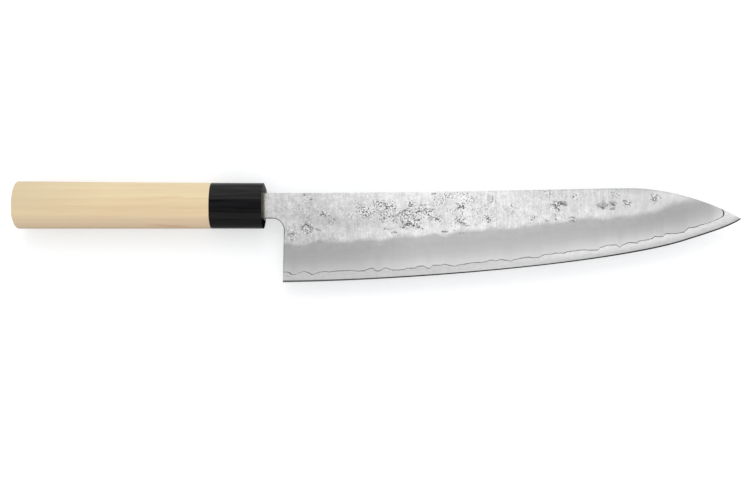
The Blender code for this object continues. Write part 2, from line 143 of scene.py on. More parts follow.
# Pitted patches of the rough skin: centre, half sizes and strength
PIT_PATCHES = (
    (20.6, -1.2, 4.2, 5.3, 0.35), (23.1, -6.9, 2, 2.2, 0.55), (24.1, 3.6, 1.8, 1.4, 0.6),
    (14.2, -11.4, 2.6, 3.2, 0.35), (16, -15.4, 3.2, 2.4, 0.55), (23, -12.6, 3.2, 2.6, 0.55),
    (31.6, -3.4, 3.2, 1.9, 0.6), (36, -8, 2.4, 1.6, 0.4), (46, -5.5, 2, 2.4, 0.35), (50, 0.9, 2, 1.4, 0.55),
    (53, -2.7, 5, 2.8, 0.9), (60.5, 0.6, 3.4, 3.2, 0.72), (57.5, -7.5, 2.8, 1.8, 0.5),
    (65.3, -0.6, 4.5, 3.4, 0.95), (66, -6.2, 6, 2.6, 0.8), (77.4, 0.8, 2.6, 2.4, 0.85),
    (75.8, -5.9, 5.5, 4.2, 0.9), (77.9, -9.8, 5, 1.8, 1), (81, -3.2, 5, 3.2, 0.85),
    (86.3, -3.4, 3.5, 3.2, 0.8), (92, 2, 4, 3.2, 0.5), (91, -6.9, 4, 2.2, 0.7), (97.9, -2.7, 3, 2, 0.6),
    (96, 5, 3.4, 2.2, 0.72), (104.5, 5.8, 3.6, 1.8, 0.7), (110.5, -4, 3, 2.4, 0.55),
    (116, -1.5, 2.6, 2.4, 0.5), (99, -10.5, 3, 1.6, 0.55), (121.5, -2.5, 2.2, 2.4, 0.45),
    (103.6, 0, 3.2, 2.6, 0.9), (102.5, -7.6, 3.2, 2.4, 0.95), (108.2, 2.8, 3.8, 2.8, 0.72),
    (112.5, 0.9, 2.6, 3.6, 0.4), (117.8, -6.9, 3.2, 2.2, 0.8), (119.4, 3.6, 2, 2.6, 0.55),
    (129.4, -1.8, 3.2, 3.6, 0.4), (140.9, -6.9, 2.2, 1.8, 0.75), (149.3, 5.7, 2.4, 2, 0.72),
    (153.4, 0, 3.2, 2.4, 1), (154.6, -4.8, 2.6, 1.6, 0.5), (161.6, -7.1, 2, 1.4, 0.6),
    (163.4, 4.6, 2.4, 1.8, 0.58), (178.1, 0.4, 3.4, 1.9, 0.35), (183, 0.6, 2.2, 2.2, 0.35),
    (184, 5.8, 3, 1.8, 0.6), (190.2, 1.5, 2.2, 1.8, 0.8), (205, 4.4, 2.6, 2.4, 0.65),
)
# Single scars in the skin: start, end and half width
SCARS = (
    (20.1, -11.9, 22.2, -9.6, 0.3), (22.2, -9.6, 24.8, -11.4, 0.42), (24.8, -11.6, 24.8, -13.4, 0.3),
    (24.8, -13.4, 23, -14.6, 0.26), (24.8, -11.5, 30.1, -13, 0.24), (13.6, -14.9, 16.1, -14.8, 0.55),
    (29.6, -5.4, 31.1, -4.3, 0.26), (31.1, -4.3, 32.7, -5.6, 0.3), (34.1, -5.2, 35.2, -5.2, 0.28),
    (24.6, 3.3, 25.4, 3.2, 0.32), (21.2, 5.7, 21.7, 5.7, 0.26), (28.3, -18.3, 29.8, -18.9, 0.26),
    (70.5, -4.3, 74.2, -2.2, 0.34), (74.2, -2.2, 78, -2.8, 0.18), (73.7, -10.6, 75.8, -8.8, 0.45),
    (75.8, -8.8, 78.9, -10.6, 0.55), (78.9, -10.6, 83.6, -12.2, 0.34), (72, -6.9, 72.9, -9, 0.3),
    (71.6, -11.4, 73.7, -11.6, 0.28), (63.2, 1.1, 64.2, -0.2, 0.4), (63.4, -2.2, 65.3, -0.6, 0.28),
    (62.6, -6.7, 63.7, -5.9, 0.36), (68.2, -5.9, 70.5, -4.8, 0.32), (76.3, 0.1, 77.9, 0.3, 0.34),
    (77.9, -3.8, 78.2, -5.9, 0.26), (80.5, -3, 82.6, -3, 0.26), (82.2, 0.2, 85.2, 0.4, 0.28),
    (84, -1.9, 89.4, -1.9, 0.28), (80, -7.5, 82.8, -7.2, 0.3), (86.3, -4.3, 87.9, -6, 0.3),
    (88.2, 6.2, 90, 6.2, 0.34), (89.9, -6.4, 91.6, -7.5, 0.3), (91.6, 3, 93.7, 0.9, 0.24),
    (93.7, 3.1, 94, 2.8, 0.34), (93.5, -13.5, 96.3, -13.5, 0.34), (101.5, -1.7, 103.1, -0.4, 0.36),
    (103.1, -0.4, 105.2, -1.5, 0.34), (104.1, -3.2, 104.2, -4.7, 0.28), (99.9, -9.6, 102, -8, 0.36),
    (102, -8, 105.2, -9.4, 0.42), (105.7, -10.5, 108, -10.4, 0.26), (110.8, -9.7, 111.3, -9.9, 0.34),
    (113.5, -1.3, 113.9, -1.5, 0.36), (116, -5.2, 117.9, -6.9, 0.32), (117.6, -8.8, 118.9, -7.2, 0.32),
    (119.9, 4.7, 119.9, 2.7, 0.26), (129.8, 0.8, 129.8, -0.2, 0.26), (141.7, -6, 142.1, -6.2, 0.36),
    (150.3, 0.2, 152.9, 0.9, 0.36), (152.9, 0.9, 153.2, -1.2, 0.34), (153, -1.2, 154.9, -1.9, 0.36),
    (156.2, 1.4, 158.6, 0.5, 0.6), (147.6, -7.7, 149.4, -8, 0.34), (152.9, -6.9, 154.1, -7.7, 0.3),
    (160.7, -6.1, 162.5, -6.1, 0.3), (160.7, -8, 162.5, -8, 0.26), (175.2, -0.4, 178.4, -1.3, 0.36),
    (181.6, 1.8, 183.9, 0.3, 0.34), (181.8, -1.7, 183.5, -1.9, 0.3), (188.8, 2.4, 189.1, 2.1, 0.34),
    (189.8, 1, 190.1, 0.8, 0.32), (191.4, 0.7, 191.7, 0.5, 0.32), (204.4, 3.2, 205.6, 2.6, 0.6),
    (202.8, 6.4, 204.6, 3.6, 0.24), (206.4, 5.6, 205.8, 3.4, 0.24), (63, -12.1, 64.9, -12.2, 0.4),
    (67.3, -14, 69.6, -14, 0.34), (102.3, -14.5, 105, -14.5, 0.22),
)
# Smooth bowls in the skin: centre, half sizes and strength
BOWLS = (
    (177.9, 0.15, 2.4, 1.3, 1), (183.4, 1.2, 1.7, 1.3, 1), (183.4, -1.2, 0.9, 0.5, 1),
    (156.6, 1.5, 2.3, 1.1, 1),
)
SCAR_WIDENING = 1.18
SKIN_DEPTH = 0.11
FLAKE_DEPTH = 0.05
BOWL_DEPTH = 0.09
HOLLOW_DEPTH = 0.1
GRAIN_DEPTH = 0.02
LEFT_SKIN_MIRROR = 232.0

# Handle
HANDLE_LENGTH = 129.2
FERRULE_LENGTH = 27.4
FERRULE_HEIGHT = 24.0
FERRULE_THICKNESS = 19.6
BUTT_HEIGHT = 24.9
BUTT_THICKNESS = 20.2
SWELL_POWER = 1.6
RIDGE_DROP = 6.6
RIDGE_FLATTENING = 0.3
OVAL_ROUNDNESS = 0.55
BUTT_ROUNDING = 1.0
DOME_HEIGHT = 2.1
DOME_POWER = 3.0
FLAT_FRONT = 0.6
BORE_RADIUS = 8.3
TENON_RADIUS = 8.0
SLOT_HALF_Y = 7.7
SLOT_HALF_Z = 2.7
JOINT_ROUNDING = 0.12
JOINT_STEP = 0.05
STAIN_X = -48.0
STAIN_Y = -10.8
STAIN_SLOPE = -0.06
STAIN_HALF = 15.0
PITH_Y = -41.0
PITH_Z = -27.0
RING_WIDTH = 2.7

# Photograph's view
VIEW_WIDTH_PX = 750
MM_PER_PX = 0.525
CAMERA_HEIGHT = 512.0
VIEW_CENTRE = (58.4, -23.2)
SENSOR_WIDTH = 36.0

# Light: radiance overhead before the edge and behind the spine, the softbox in metres and its
# radiance, the floor's colour and how much brighter than that it shows
OVERHEAD_LIGHT = (0.895, 0.965)
SOFTBOX_PLACE = (0.0, 1.66, 1.54)
SOFTBOX_SIZE = (1.0, 1.3)
SOFTBOX_RADIANCE = 2.78
FLOOR_COLOUR = (0.672, 0.68, 0.689)
FLOOR_LIFT = 0.39
FLOOR_HALF = 3.0


def knife_origin():
    """World place of the knife's zero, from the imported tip, collar and core."""
    core = np.array(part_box("core_steel"))
    collar = np.array(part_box("mouth_resin"))
    return np.array((core[1, 0] - TIP_X * MM, collar[:, 1].mean(), core[:, 2].mean()))


ORIGIN = knife_origin()


def place(points):
    """World places in metres of points given in the knife's millimetres."""
    return np.asarray(points, float) * MM + ORIGIN


def smooth(low, high, value):
    """Smooth step from 0 at low to 1 at high."""
    share = np.clip((value - low) / (high - low), 0, 1)
    return share * share * (3 - 2 * share)


def bezier(corners, count):
    """Points of a cubic curve."""
    t = np.linspace(0, 1, count)[:, None]
    a, b, c, d = (np.array(corner, float) for corner in corners)
    return (1 - t) ** 3 * a + 3 * (1 - t) ** 2 * t * b + 3 * (1 - t) * t ** 2 * c + t ** 3 * d


def noise(x, y, size, seed):
    """Smooth noise between about -1 and 1, with features as large as size."""
    angles = np.random.default_rng(seed).uniform(0, 2 * math.pi, (256, 256))
    turn = seed * 0.7
    u = (x * math.cos(turn) - y * math.sin(turn)) / size
    v = (x * math.sin(turn) + y * math.cos(turn)) / size
    column = np.floor(u).astype(int)
    row = np.floor(v).astype(int)
    fu = u - column
    fv = v - row

    def corner(right, up):
        angle = angles[(column + right) % 256, (row + up) % 256]
        return np.cos(angle) * (fu - right) + np.sin(angle) * (fv - up)

    ease_u = fu ** 3 * (10 - 15 * fu + 6 * fu * fu)
    ease_v = fv ** 3 * (10 - 15 * fv + 6 * fv * fv)
    low = corner(0, 0) * (1 - ease_u) + corner(1, 0) * ease_u
    high = corner(0, 1) * (1 - ease_u) + corner(1, 1) * ease_u
    return 1.5 * (low * (1 - ease_v) + high * ease_v)


def rough_noise(x, y, size, seed, octaves):
    """Noise with finer noise on it."""
    total = np.zeros_like(x)
    weight = 1.0
    reach = 0.0
    for octave in range(octaves):
        total += weight * noise(x, y, size / 2 ** octave, seed + octave)
        reach += weight
        weight *= 0.55
    return total / reach


def sweep(start, start_run, start_slope, end, end_run, end_slope, count):
    """Cubic curve between two points, each with a run along X and a slope."""
    leave = (start[0] + start_run, start[1] + start_run * start_slope)
    meet = (end[0] - end_run, end[1] - end_run * end_slope)
    return bezier((start, leave, meet, end), count)


def stirred(x, y, amount, size, seed):
    """Places moved about by noise."""
    return x + amount * noise(x, y, size, seed), y + amount * noise(x, y, size, seed + 1)


def edge_curve():
    """The cutting edge from heel to tip."""
    point = (POINT_X, POINT_Y)
    belly = POINT_X - HEEL_X
    nose = TIP_X - POINT_X
    first = sweep((HEEL_X, HEEL_Y), belly * EDGE_HEEL_REACH, HEEL_SLOPE,
                  point, belly * EDGE_BELLY_REACH, POINT_SLOPE, 300)
    second = sweep(point, nose * EDGE_POINT_REACH, POINT_SLOPE,
                   (TIP_X, TIP_Y), nose * EDGE_TIP_REACH, TIP_SLOPE, 80)
    return np.vstack([first, second[1:]])


def spine_curve():
    """The spine from the neck to the tip."""
    crest = (NOSE_X, SPINE_CREST)
    back = NOSE_X - CHOIL_X
    nose = TIP_X - NOSE_X
    first = sweep((CHOIL_X, NECK_HALF), back * SPINE_NECK_REACH, 0, crest, back * SPINE_CREST_REACH, 0, 200)
    second = sweep(crest, nose * NOSE_CREST_REACH, 0,
                   (TIP_X, TIP_Y), nose * NOSE_TIP_REACH, -NOSE_TIP_RISE / NOSE_TIP_REACH, 300)
    return np.vstack([first, second[1:]])


def fillet_curve():
    """The rounded corner between the neck's lower side and the choil."""
    start = (CHOIL_X - FILLET, -NECK_HALF)
    end = (CHOIL_X, CORNER_Y)
    reach = FILLET * 0.6
    return bezier((start, (start[0] + reach, start[1]), (end[0], end[1] + reach), end), 60)


EDGE = edge_curve()
SPINE = spine_curve()
NECK_FILLET = fillet_curve()


def edge_y(x):
    """The cutting edge."""
    return np.interp(x, *EDGE.T)


def spine_y(x):
    """Upper outline: tang, neck and spine."""
    tang = np.interp(x, (TANG_END_X, TANG_START_X), (TANG_END_HALF, NECK_HALF))
    return np.where(x < CHOIL_X, tang, np.interp(x, *SPINE.T))


def neck_y(x):
    """Lower outline of the tang, the neck and its fillet."""
    tang = -np.interp(x, (TANG_END_X, TANG_START_X), (TANG_END_HALF, NECK_HALF))
    return np.where(x < CHOIL_X - FILLET, tang, np.interp(x, *NECK_FILLET.T))


def line_y(x):
    """The crinkled lamination line."""
    crinkle = 0.12 * noise(x, 0 * x, 1.2, 5)
    return edge_y(x) + np.interp(x, *np.transpose(LINE_CORNERS)) + crinkle


def polish_y(x):
    """The soft line between the rough cheek and the polished bevel."""
    places, heights = np.transpose(POLISH_PLACES)
    spread = np.linspace(-2, 2, 17)
    weights = np.exp(-spread ** 2 / 2)
    total = np.zeros_like(x)
    for step, weight in zip(spread, weights):
        total += weight * np.interp(x + POLISH_ROUNDING * step, places, heights)
    return total / weights.sum()


def cheek_z(x):
    """Half thickness of the flat cheek."""
    start = CHOIL_X - FILLET
    share = np.clip((x - start) / (CLAD_END_X - start), 0, 1)
    return NECK_Z + (POINT_Z - NECK_Z) * share


def ovals(places, x, y, fall, power):
    """The strongest of some soft ovals at each place, from 0 to 1."""
    total = np.zeros_like(x)
    for centre_x, centre_y, half_x, half_y, strength in places:
        spread = ((x - centre_x) / half_x) ** 2 + ((y - centre_y) / half_y) ** 2
        total = np.maximum(total, strength * np.exp(-fall * spread ** power))
    return total


def scar_depth(x, y):
    """Depth of the single scars, from 0 to 1."""
    total = np.zeros_like(x)
    for x0, y0, x1, y1, half_width in SCARS:
        length = math.hypot(x1 - x0, y1 - y0)
        along = np.clip(((x - x0) * (x1 - x0) + (y - y0) * (y1 - y0)) / length ** 2, 0, 1)
        away = np.hypot(x - x0 - along * (x1 - x0), y - y0 - along * (y1 - y0))
        total = np.maximum(total, np.exp(-(away / half_width / SCAR_WIDENING) ** 2))
    return total


def skin(x, y, seed):
    """Pits, raised specks that the material paints as glints, and flakes of the rough skin, each from 0 to
    1.
    """
    patch = ovals(PIT_PATCHES, *stirred(x, y, 1.3, 3.0, seed + 1), 0.8, 1.4)
    inside = smooth(0.05, 0.25, patch)
    curdle = noise(x, y, 0.85, seed + 3) + 0.6 * noise(x, y, 0.55, seed + 4)
    limit = 0.7 - 0.62 * patch
    pits = smooth(limit, limit + 0.12, curdle) * inside * (0.6 + 0.4 * smooth(0.3, 0.8, patch))
    crumbs_and_glints = smooth(limit, limit + 0.12, -curdle) * inside
    flake = noise(x, y, 3.6, seed + 5) + 0.5 * noise(x, y, 1.2, seed + 6)
    flakes = smooth(0.1, 0.24, flake) * inside
    scars = scar_depth(*stirred(x, y, 0.4, 1.0, seed + 7)) * smooth(-0.3, 0.05, noise(x, y, 0.7, seed + 9))
    return np.maximum(pits, scars), crumbs_and_glints * (1 - scars), flakes


def rounded(distance, radius):
    """Drop of a surface near an edge that is rounded with a radius."""
    inward = 1 - np.clip(distance / radius, 0, 1)
    return radius * (1 - np.sqrt(1 - inward ** 2))


def column_places(step):
    """Column places along the tang and neck, and along the blade."""
    tang = np.linspace(TANG_END_X, -1.0, 14)[:-1]
    neck = np.linspace(-1.0, CHOIL_X - 1.5, 34)[:-1]
    fillet = CHOIL_X - 1.5 * np.linspace(1, 0, 14)[:-1] ** 1.6
    rim = CHOIL_X + np.array((0.0, 0.02, 0.05, 0.1, 0.16, 0.24, 0.35))
    blade = np.arange(CHOIL_X + 0.55, CLAD_END_X - step / 2, step)
    return np.concatenate([tang, neck, fillet]), np.concatenate([rim, blade, [CLAD_END_X]])


def blade_grid(neck_x, blade_x, lower, upper, low_line, turn=0.0):
    """X and Y of a grid's two blocks, the neck's and the blade's.

    Rows are shares of the height from low_line to the spine. The upper ones run on into the neck and
    bend near the choil to start at the fillet's end. The last columns bow by turn."""
    neck_rows = (upper - upper[0]) / (1 - upper[0])
    neck_low = neck_y(neck_x)[:, None]
    neck_py = neck_low + (spine_y(neck_x)[:, None] - neck_low) * neck_rows
    neck_px = np.broadcast_to(neck_x[:, None], neck_py.shape)
    rows = np.concatenate([lower, upper])
    near_choil = np.clip(1 - (blade_x - CHOIL_X) / 20, 0, 1)[:, None]
    lean_back = turn * smooth(CLAD_END_X - 16, CLAD_END_X, blade_x)
    low = low_line(blade_x)[:, None]
    high = spine_y(blade_x - lean_back * (1 - END_TURN_CENTRE) ** 2)[:, None]
    knot = upper[0] + ((CORNER_Y - low) / (high - low) - upper[0]) * near_choil
    below = rows / upper[0] * knot
    above = knot + (rows - upper[0]) / (1 - upper[0]) * (1 - knot)
    py = low + (high - low) * np.where(rows < upper[0], below, above)
    heel_lean = (CHOIL_X - HEEL_X) * np.clip((CORNER_Y - py) / (CORNER_Y - HEEL_Y), 0, 1)
    px = blade_x[:, None] - lean_back[:, None] * (rows - END_TURN_CENTRE) ** 2 - heel_lean * near_choil
    return neck_px, neck_py, px, py


def joined(grid):
    """X and Y of all points of a grid."""
    return (np.concatenate([grid[axis].ravel(), grid[axis + 2].ravel()]) for axis in (0, 1))


def plate_faces(neck_shape, blade_shape):
    """Faces of a grid's top, and the points round its rim in turn."""
    neck = np.arange(neck_shape[0] * neck_shape[1]).reshape(neck_shape)
    blade = neck.size + np.arange(blade_shape[0] * blade_shape[1]).reshape(blade_shape)
    low_rows = blade_shape[1] - neck_shape[1]
    upper = np.vstack([neck, blade[:, low_rows:]])
    faces = []
    for block in (upper, blade[:, :low_rows + 1]):
        corners = (block[:-1, :-1], block[1:, :-1], block[1:, 1:], block[:-1, 1:])
        faces.append(np.stack([corner.ravel() for corner in corners], 1))
    rim = np.concatenate([
        neck[:, 0], blade[0, low_rows::-1], blade[1:, 0], blade[-1, 1:], blade[-2::-1, -1],
        neck[::-1, -1], neck[0, -2:0:-1],
    ])
    return np.vstack(faces), rim


def plate_piece(name, grid, top_z, bottom_z, attributes, flipped=False):
    """Closed plate over a grid. Its back is flat at one height, or has a height a point."""
    faces, rim = plate_faces(grid[0].shape, grid[2].shape)
    x, y = joined(grid)
    top = np.stack([x, y, top_z], 1)
    is_flat = np.isscalar(bottom_z)
    back = rim if is_flat else np.arange(len(x))
    bottom = np.stack([x[back], y[back], np.broadcast_to(bottom_z, len(x))[back]], 1)
    foot = len(x) + (np.arange(len(rim)) if is_flat else rim)
    walls = np.stack([rim, foot, np.roll(foot, -1), np.roll(rim, -1)], 1)
    backs = [foot[::-1].tolist()] if is_flat else (faces[:, ::-1] + len(x)).tolist()
    points = np.vstack([top, bottom])
    all_faces = faces.tolist() + walls.tolist() + backs
    if flipped:
        points = points * (1, 1, -1)
        all_faces = [face[::-1] for face in all_faces]
    carried = {key: np.concatenate([values, values[back]]) for key, values in attributes.items()}
    return mesh_object(name, points, all_faces, carried)


def add_object(name, data):
    """Put new data into the scene."""
    made = bpy.data.objects.new(name, data)
    bpy.context.scene.collection.objects.link(made)
    return made


def mesh_object(name, points, faces, attributes=None, is_smooth=True):
    """Make a mesh object from knife-frame points, with vertex attributes."""
    mesh = bpy.data.meshes.new(name)
    mesh.from_pydata(place(points).tolist(), [], faces)
    for key, values in (attributes or {}).items():
        layer = mesh.attributes.new(key, "FLOAT", "POINT")
        layer.data.foreach_set("value", np.asarray(values, np.float32))
    mesh.update()
    if is_smooth:
        mesh.shade_smooth()
        mesh.set_sharp_from_angle(angle=math.radians(42))
    return add_object(name, mesh)


def rim_distance(x, y):
    """Distance from the lower side of the neck, its fillet and the choil."""
    rim_x, rim_y = np.vstack([((HEEL_X, HEEL_Y), (CHOIL_X, CORNER_Y)), NECK_FILLET[::-1]]).T
    across = np.maximum(np.where(y < -NECK_HALF, x - np.interp(y, rim_y, rim_x), FAR), TINY)
    upright = np.maximum(np.where(x < CHOIL_X, y - neck_y(x), FAR), TINY)
    return across * upright / np.hypot(across, upright)


def cladding_rows():
    """Shares of the height from the lamination line to the spine, low and high."""
    line = (0.0, 0.007, 0.014, 0.022)
    bevel = np.linspace(0.05, 0.34, 12)
    low_cheek = np.linspace(0.352, 0.54, 26)
    high_cheek = np.linspace(0.547, 0.982, 60)
    spine = (0.987, 0.9915, 0.9955, 1.0)
    return np.concatenate([line, bevel, low_cheek]), np.concatenate([high_cheek, spine])


def make_cladding(name, seed, flipped=False):
    """One cladding: pitted cheek, soft shoulder and bevel down to the lamination line."""
    lower, upper = cladding_rows()
    neck_x, blade_x = column_places(0.278)
    grid = blade_grid(neck_x, blade_x, lower, upper, line_y, END_TURN)
    x, y = joined(grid)
    cheek = cheek_z(x)
    line = line_y(x)
    above_polish = y - polish_y(x)
    width = polish_y(x) - line
    share = np.clip((y - line) / width, 0, 1)
    z = CORE_Z + LIP_Z + (cheek - CORE_Z - LIP_Z) * share ** 1.12
    z -= SHOULDER_SOFTNESS * np.exp(-(above_polish / 1.1) ** 2)
    on_blade = smooth(3.0, 9.0, x)
    forged = smooth(-1.6, 2.0, above_polish) * on_blade * (1 - smooth(212, 226, x))
    skin_x = LEFT_SKIN_MIRROR - x if flipped else x
    pits, crumbs_and_glints, flakes = skin(skin_x, y, seed)
    bowls = ovals(BOWLS, skin_x, y, 0.7, 2)
    skin_share = smooth(-3.0, 0.5, above_polish) * on_blade
    thin = np.clip((cheek - CORE_Z) / 0.3, 0, 1)
    hollows = 0.5 - 0.5 * rough_noise(x, y, 6.5, seed + 40, 3)
    grain = 0.5 - 0.5 * rough_noise(x, y, 0.9, seed + 50, 2)
    z -= forged * thin * (HOLLOW_DEPTH * hollows + GRAIN_DEPTH * grain)
    z -= skin_share * thin * (SKIN_DEPTH * pits + FLAKE_DEPTH * flakes * (1 - 0.8 * crumbs_and_glints))
    z -= skin_share * thin * BOWL_DEPTH * bowls
    z -= rounded(spine_y(x) - y, SPINE_ROUNDING)
    z -= rounded(rim_distance(x, y), CHOIL_ROUNDING)
    z = np.maximum(z, CORE_Z + LEAST_SKIN)
    before_end = np.concatenate([np.full(grid[0].size, FAR), (grid[2][-1] - grid[2]).ravel()])
    attributes = {
        "above_polish": above_polish,
        "above_line": np.minimum(y - line, before_end),
        "before_end": before_end,
        "road": np.clip(-above_polish / width, 0, 1),
        # Darkened as painted shade in the material.
        "pit": pits * skin_share,
        # Whitened as painted glints in the material.
        "crumb_glint": crumbs_and_glints * skin_share,
        "flake": flakes * skin_share,
        # Darkened as painted shade in the material.
        "bowl": bowls * skin_share,
        "below_spine": spine_y(x) - y,
        # Darkened as painted shade along the choil and the neck's lower rim.
        "rim": np.clip(2.0 - rim_distance(x, y) / 0.3, 0, 1) * (0.3 + 0.7 * smooth(-20.0, -14.0, y)),
    }
    return plate_piece(name, grid, z, CORE_Z, attributes, flipped)


def make_core():
    """Core steel: the middle plate, with its bevel, its fine edge and the point."""
    lower = np.array((0, 0.0045, 0.009, 0.0135, 0.018, 0.024, 0.03, 0.055, 0.08, 0.095, 0.11, 0.14, 0.2,
                      0.36, 0.5))
    upper = np.array((0.54, 0.7, 0.85, 0.97, 0.985, 1))
    neck_x, blade_x = column_places(0.6)
    point_x = np.linspace(CLAD_END_X, TIP_X - 0.02, 40)[1:]
    grid = blade_grid(neck_x, np.concatenate([blade_x, point_x]), lower, upper, edge_y)
    x, y = joined(grid)
    is_neck = (x < CHOIL_X) & (y > CORNER_Y - 0.1)
    above_edge = np.where(is_neck, FAR, y - edge_y(x))
    covered = np.minimum(x, CLAD_END_X)
    line = np.maximum(line_y(covered) - edge_y(covered), 0.1)
    tip_share = np.clip((x - CLAD_END_X + 1.5) / (TIP_X - CLAD_END_X + 1.5), 0, 1)
    full = CORE_Z + (TIP_Z - CORE_Z) * tip_share
    shoulder = MICRO_BEVEL_Z * (1 - 0.4 * tip_share)
    fine = np.clip(above_edge / MICRO_BEVEL, 0, 1)
    rise = np.clip((above_edge - MICRO_BEVEL) / (line - MICRO_BEVEL), 0, 1)
    z = EDGE_Z + (shoulder - EDGE_Z) * fine + (full - shoulder) * rise ** 0.9
    z = np.where(above_edge > line + 0.4, full - CORE_GAP, z)
    beyond = smooth(CLAD_END_X - 1, CLAD_END_X + 1, x)
    z -= beyond * rounded(spine_y(x) - y, 0.08)
    attributes = {"above_edge": above_edge, "below_spine": spine_y(x) - y}
    return plate_piece("blade_core", grid, z, -z, attributes)


def section(height, thickness, centre_y, share, count=28):
    """The D section as (y, z) points, with one soft ridge low on its right side."""
    half_y = height / 2 * share
    half_z = thickness / 2 * share
    round_y = half_y * OVAL_ROUNDNESS
    round_z = half_z * OVAL_ROUNDNESS
    ridge_y = -RIDGE_DROP * share
    ridge_z = half_z - RIDGE_FLATTENING
    ridge_handle = (ridge_y * 0.85, ridge_z + RIDGE_FLATTENING / 3)
    facet_handle = (ridge_y - (half_y + ridge_y) * 0.4, ridge_z * 0.8)
    curves = (
        ((half_y, 0), (half_y, round_z), (round_y, half_z), (0, half_z)),
        ((0, half_z), (ridge_y / 2, half_z), ridge_handle, (ridge_y, ridge_z)),
        ((ridge_y, ridge_z), facet_handle, (-half_y, round_z), (-half_y, 0)),
        ((-half_y, 0), (-half_y, -round_z), (-round_y, -half_z), (0, -half_z)),
        ((0, -half_z), (round_y, -half_z), (half_y, -round_z), (half_y, 0)),
    )
    points = np.vstack([bezier(curve, count + 1)[:-1] for curve in curves])
    points[:, 0] += centre_y
    return points


def soften_ridge(points, passes=24):
    """Round the ridge a little by averaging neighbours near it."""
    for _ in range(passes):
        mean = (np.roll(points, 1, 0) + np.roll(points, -1, 0)) / 2
        near = np.exp(-((points[:, 0:1] + RIDGE_DROP) / 2.4) ** 2) * (points[:, 1:2] > 0)
        points = points + (mean - points) * near
    return points


def handle_size(x):
    """Height, thickness and centre height of the handle."""
    share = max(-x, 0.0) / HANDLE_LENGTH
    height = FERRULE_HEIGHT + (BUTT_HEIGHT - FERRULE_HEIGHT) * share ** SWELL_POWER
    thickness = FERRULE_THICKNESS + (BUTT_THICKNESS - FERRULE_THICKNESS) * share
    return height, thickness, -FERRULE_HEIGHT / 2 + height / 2


def handle_ring(x, share=1.0, at=None, inset=0.0):
    """Ring of the handle at a place, made smaller by a share or by an inset."""
    height, thickness, centre = handle_size(x)
    points = soften_ridge(section(height, thickness, centre, share))
    if inset:
        middle = np.array((centre, 0.0))
        points = middle + (points - middle) * (1 - 2 * inset / height)
    return np.column_stack([np.full(len(points), x if at is None else at), points])


def loft(name, rings):
    """Closed mesh through rings, with a flat face on each end."""
    size = len(rings[0])
    points = np.vstack(rings)
    near = np.arange(len(points) - size).reshape(-1, size)
    following = np.roll(near, -1, 1)
    sides = np.stack([near, near + size, following + size, following], 2).reshape(-1, 4)
    order = list(range(len(points)))
    return mesh_object(name, points, sides.tolist() + [order[:size], order[:-size - 1:-1]])


def carve(piece, cutter, operation="DIFFERENCE"):
    """Apply a Boolean, remove its cutter and shade the result."""
    modifier = piece.modifiers.new("carve", "BOOLEAN")
    modifier.operation = operation
    modifier.object = cutter
    evaluated = piece.evaluated_get(bpy.context.evaluated_depsgraph_get())
    carved = bpy.data.meshes.new_from_object(evaluated)
    piece.modifiers.clear()
    piece.data = carved
    carved.name = piece.name
    carved.shade_smooth()
    carved.set_sharp_from_angle(angle=math.radians(30))
    bpy.data.objects.remove(cutter, do_unlink=True)


def wedge(name, back, front):
    """Block between two ends, each a place on the handle's axis and its half sizes."""
    sides = ((-1, -1), (-1, 1), (1, -1), (1, 1))
    corners = [(x, y * half_y, z * half_z) for x, half_y, half_z in (back, front) for y, z in sides]
    faces = ((0, 1, 3, 2), (4, 6, 7, 5), (0, 4, 5, 1), (2, 3, 7, 6), (0, 2, 6, 4), (1, 5, 7, 3))
    return mesh_object(name, corners, faces, is_smooth=False)


def rod(name, radius, start_x, end_x, sides=96):
    """Cylinder along the handle's axis."""
    angles = np.linspace(0, 2 * math.pi, sides, endpoint=False)
    circle = np.column_stack([np.zeros(sides), radius * np.cos(angles), radius * np.sin(angles)])
    return loft(name, [circle + (start_x, 0, 0), circle + (end_x, 0, 0)])


def make_handle():
    """Wooden body with a rounded butt, a tenon and the tang's hole."""
    butt = -HANDLE_LENGTH
    rings = []
    for step in range(9):
        angle = math.pi / 2 * step / 8
        inset = BUTT_ROUNDING * (1 - math.sin(angle))
        rings.append(handle_ring(butt, 1.0, butt + BUTT_ROUNDING * (1 - math.cos(angle)), inset))
    rings += map(handle_ring, np.linspace(butt + BUTT_ROUNDING, -FERRULE_LENGTH - 0.3, 60)[1:])
    rings.append(handle_ring(-FERRULE_LENGTH - JOINT_STEP, inset=JOINT_ROUNDING * 0.4))
    rings.append(handle_ring(-FERRULE_LENGTH, inset=JOINT_ROUNDING))
    body = loft("handle_wood", rings)
    carve(body, rod("tenon", TENON_RADIUS, -FERRULE_LENGTH - 2, TANG_START_X - 0.3), "UNION")
    back = (TANG_END_X - TANG_GAP, TANG_END_HALF + TANG_GAP, NECK_Z + TANG_GAP)
    carve(body, wedge("tang_hole", back, (TANG_START_X, NECK_HALF + TANG_GAP, NECK_Z + TANG_GAP)))
    return body


def dome_rings():
    """Rings of the ferrule's front: domed, but nearly flat below and beside the neck."""
    rings = []
    for share in (0.992, 0.975, 0.95, 0.92, 0.88, 0.84, 0.8, 0.75, 0.7, 0.64, 0.58, 0.5, 0.4, 0.28, 0.14):
        ring = handle_ring(0.0, share)
        below = smooth(-4.5, -7.0, ring[:, 1])
        beside = smooth(7.5, 6.6, np.abs(ring[:, 1])) * smooth(0.3, 1.3, np.abs(ring[:, 2]))
        flat = np.maximum(below, beside)
        dome = DOME_HEIGHT * (1 - share ** DOME_POWER)
        ring[:, 0] = dome + (min(dome, FLAT_FRONT * (1 - share ** 9)) - dome) * flat
        rings.append(ring)
    return rings


